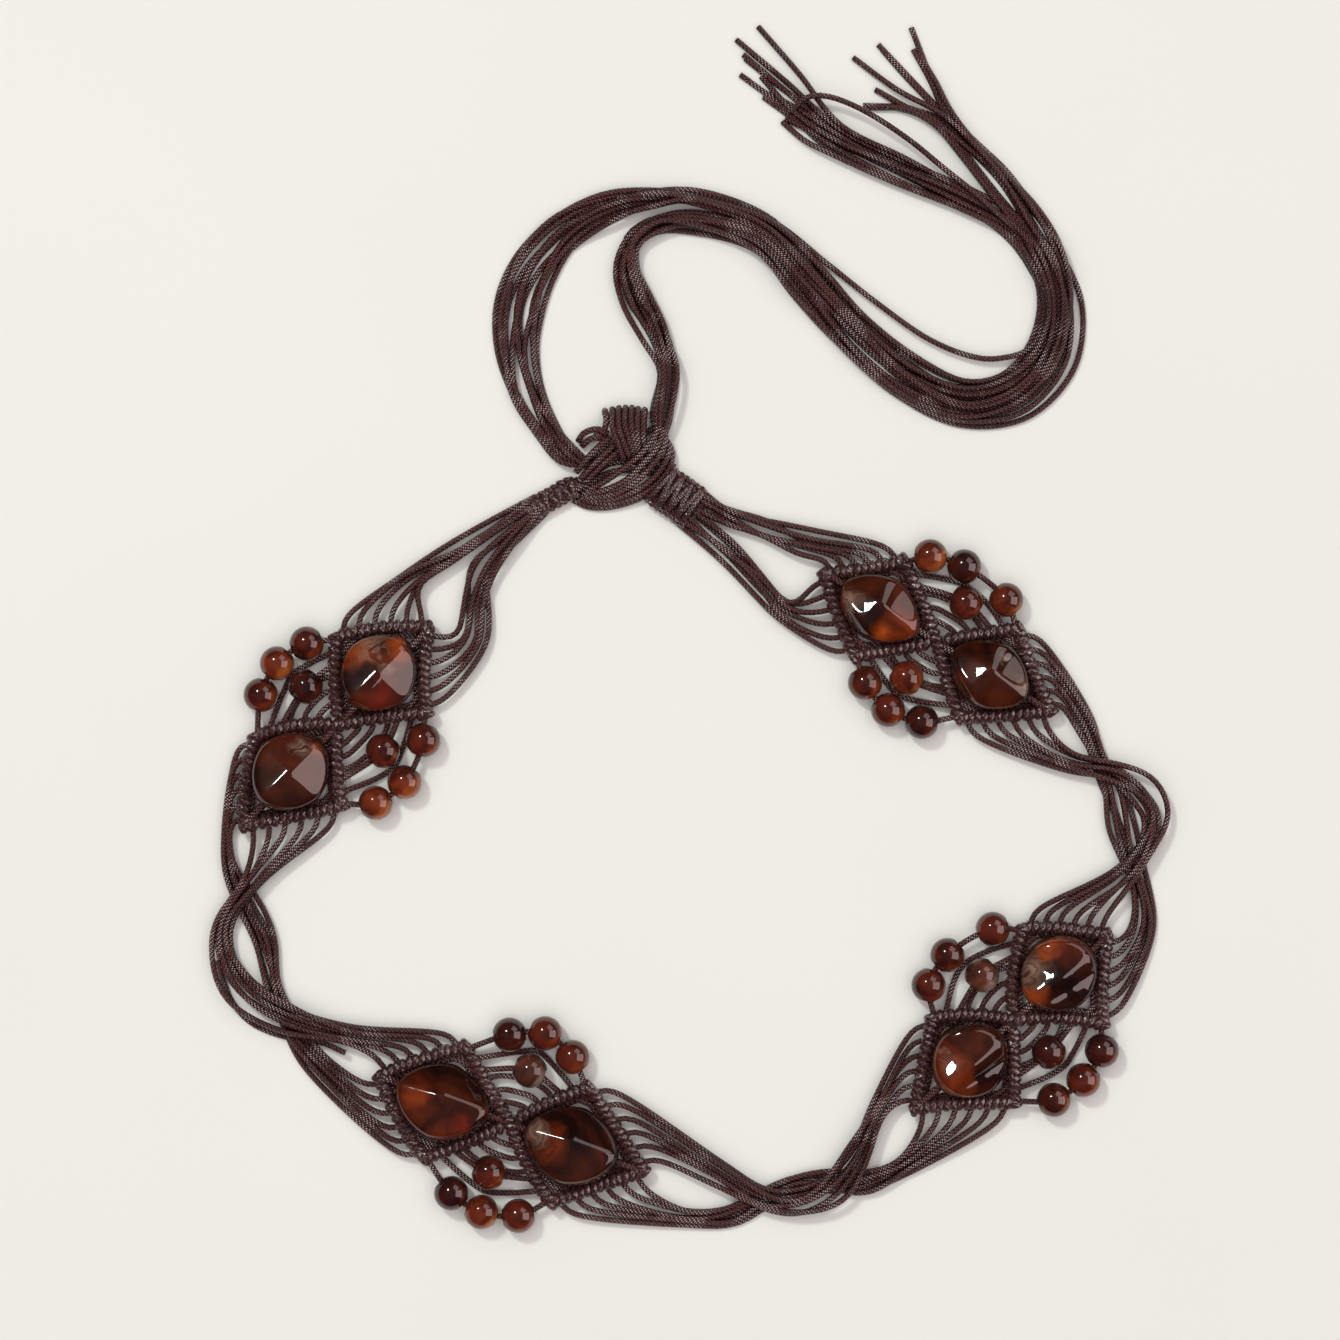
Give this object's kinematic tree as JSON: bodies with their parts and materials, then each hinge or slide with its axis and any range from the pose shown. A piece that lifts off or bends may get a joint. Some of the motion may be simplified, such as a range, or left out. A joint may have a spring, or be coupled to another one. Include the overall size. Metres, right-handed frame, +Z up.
{
  "type": "knotted bead belt",
  "caption": "Knotted waxed-cord belt with twisted resin stones in diamond motifs, round beads and long loose tie ends, lying tied in a loop.",
  "frame": {"origin": "on the surface that the belt lies on, under the middle of its bounding box", "axes": "+Z up from the surface, +Y towards the tassel's tips, +X to the right as seen from above"},
  "size_m": [0.287, 0.3618, 0.0157],
  "materials": {
    "cord": "waxed, soft sheen",
    "stone": "polished swirled resin",
    "bead": "polished translucent resin"
  },
  "bodies": {
    "root": {"motif_1_frame": "cord", "motif_1_stone_1": "stone", "motif_1_stone_2": "stone", "motif_1_bead_1": "bead", "motif_1_bead_2": "bead", "motif_1_bead_3": "bead", "motif_1_bead_4": "bead", "motif_1_bead_5": "bead", "motif_1_bead_6": "bead", "motif_1_bead_7": "bead", "motif_1_bead_8": "bead", "motif_2_frame": "cord", "motif_2_stone_1": "stone", "motif_2_stone_2": "stone", "motif_2_bead_1": "bead", "motif_2_bead_2": "bead", "motif_2_bead_3": "bead", "motif_2_bead_4": "bead", "motif_2_bead_5": "bead", "motif_2_bead_6": "bead", "motif_2_bead_7": "bead", "motif_2_bead_8": "bead", "motif_3_frame": "cord", "motif_3_stone_1": "stone", "motif_3_stone_2": "stone", "motif_3_bead_1": "bead", "motif_3_bead_2": "bead", "motif_3_bead_3": "bead", "motif_3_bead_4": "bead", "motif_3_bead_5": "bead", "motif_3_bead_6": "bead", "motif_3_bead_7": "bead", "motif_3_bead_8": "bead", "motif_4_frame": "cord", "motif_4_stone_1": "stone", "motif_4_stone_2": "stone", "motif_4_bead_1": "bead", "motif_4_bead_2": "bead", "motif_4_bead_3": "bead", "motif_4_bead_4": "bead", "motif_4_bead_5": "bead", "motif_4_bead_6": "bead", "motif_4_bead_7": "bead", "motif_4_bead_8": "bead", "run_12": "cord", "run_23": "cord", "run_34": "cord", "run_start": "cord", "run_end": "cord", "sinnet": "cord", "wrap": "cord", "tie_knot": "cord", "tail_left": "cord", "tail_right": "cord", "tail_main": "cord"}
  },
  "joints": []
}
